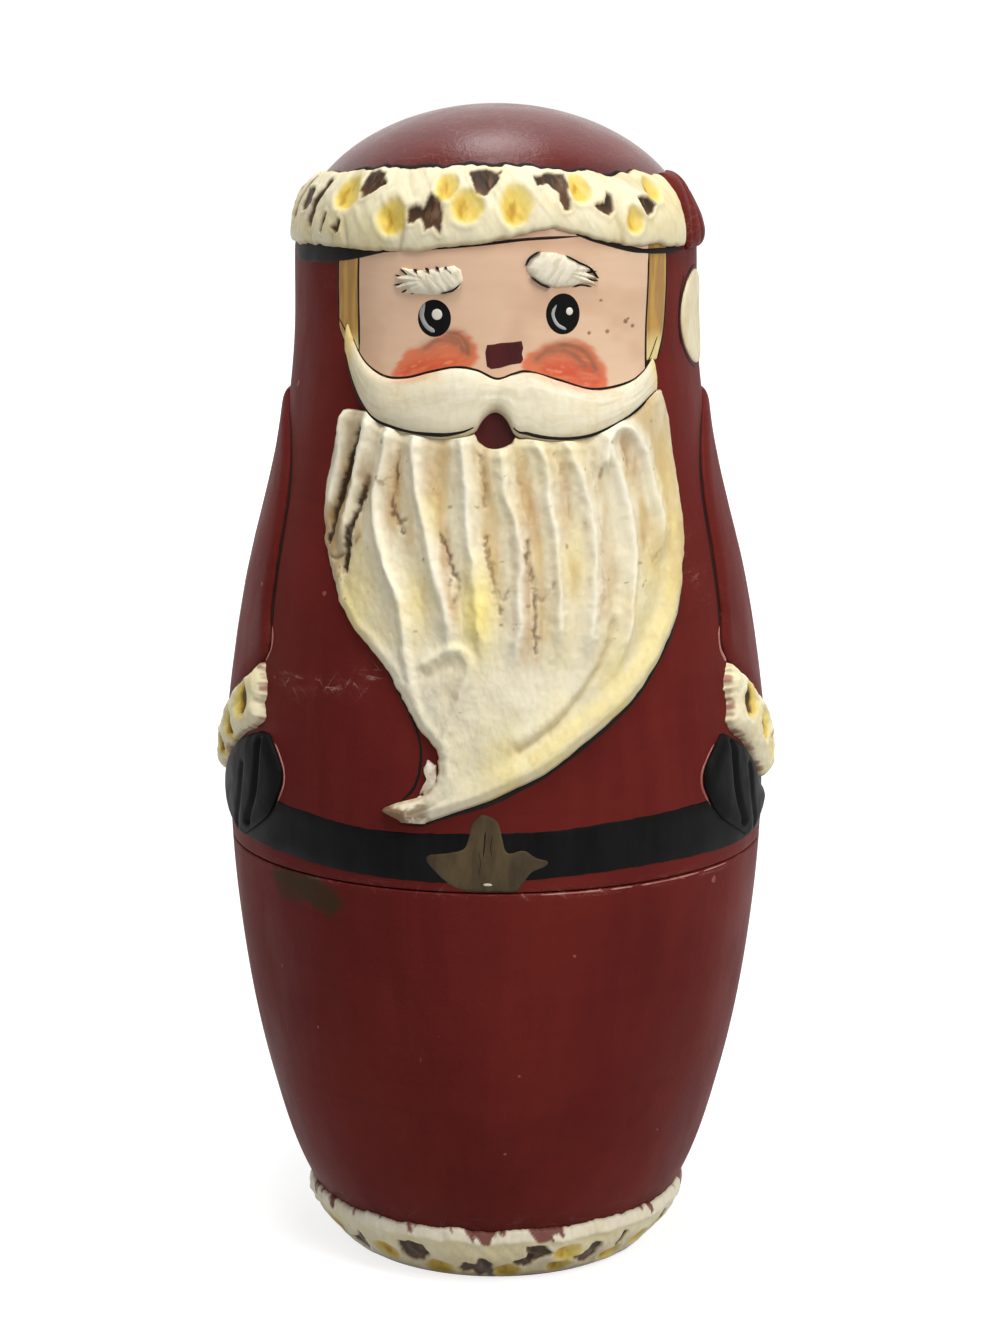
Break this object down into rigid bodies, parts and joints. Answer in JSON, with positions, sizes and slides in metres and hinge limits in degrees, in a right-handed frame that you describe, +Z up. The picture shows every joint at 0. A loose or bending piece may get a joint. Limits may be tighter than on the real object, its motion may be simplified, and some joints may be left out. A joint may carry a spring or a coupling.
{
  "type": "nesting doll",
  "caption": "Nesting doll of turned wood: hollow figures that part at a spigot seam and stand one inside another, with raised fur trim, beard and sleeves.",
  "frame": {"origin": "centre of the outer doll's flat base, on the surface it stands on", "axes": "+Z up along the turning axis, -Y towards the viewer of the face, +X to that viewer's right"},
  "size_m": [0.0854, 0.0847, 0.178],
  "materials": {
    "coat": "turned limewood with brushed red paint and a worn varnish",
    "fur": "raised wood and paste, painted cream with yellow and brown dabs",
    "mitten": "raised wood painted black under varnish"
  },
  "bodies": {
    "outer_bottom": {"outer_lower_shell": "coat", "outer_hem_trim": "fur"},
    "second_bottom": {"second_lower_shell": "coat", "second_hem_trim": "fur"},
    "third_bottom": {"third_lower_shell": "coat", "third_hem_trim": "fur"},
    "fourth_bottom": {"fourth_lower_shell": "coat", "fourth_hem_trim": "fur"},
    "smallest_doll": {"smallest_body": "coat", "smallest_hem_trim": "fur", "smallest_hat_band": "fur", "smallest_moustache": "fur", "smallest_beard": "fur"},
    "fourth_top": {"fourth_upper_shell": "coat", "fourth_hat_band": "fur", "fourth_moustache": "fur", "fourth_beard": "fur"},
    "third_top": {"third_upper_shell": "coat", "third_hat_band": "fur", "third_moustache": "fur", "third_beard": "fur"},
    "second_top": {"second_upper_shell": "coat", "second_hat_band": "fur", "second_moustache": "fur", "second_beard": "fur"},
    "outer_top": {"outer_upper_shell": "coat", "outer_hat_band": "fur", "outer_hat_tail": "coat", "outer_hat_pompom": "fur", "outer_left_brow": "fur", "outer_right_brow": "fur", "outer_moustache": "fur", "outer_beard": "fur", "outer_left_sleeve": "coat", "outer_right_sleeve": "coat", "outer_left_cuff": "fur", "outer_right_cuff": "fur", "outer_left_mitten": "mitten", "outer_right_mitten": "mitten"}
  },
  "joints": [
    {"name": "second_doll_lift", "type": "slide", "parent": "outer_bottom", "child": "second_bottom", "axis": [0, 0, 1], "range_m": [0, 0.075]},
    {"name": "third_doll_lift", "type": "slide", "parent": "second_bottom", "child": "third_bottom", "axis": [0, 0, 1], "range_m": [0, 0.0585]},
    {"name": "fourth_doll_lift", "type": "slide", "parent": "third_bottom", "child": "fourth_bottom", "axis": [0, 0, 1], "range_m": [0, 0.0456]},
    {"name": "halves_twist", "type": "hinge", "parent": "fourth_bottom", "child": "smallest_doll", "pos_m": [0, 0, 0.0146], "axis": [0, 0, 1], "continuous": true},
    {"name": "fourth_top_lift", "type": "slide", "parent": "smallest_doll", "child": "fourth_top", "axis": [0, 0, 1], "range_m": [0, 0.0403]},
    {"name": "third_top_lift", "type": "slide", "parent": "fourth_top", "child": "third_top", "axis": [0, 0, 1], "range_m": [0, 0.0517]},
    {"name": "second_top_lift", "type": "slide", "parent": "third_top", "child": "second_top", "axis": [0, 0, 1], "range_m": [0, 0.0663]},
    {"name": "outer_top_lift", "type": "slide", "parent": "second_top", "child": "outer_top", "axis": [0, 0, 1], "range_m": [0, 0.085]}
  ]
}
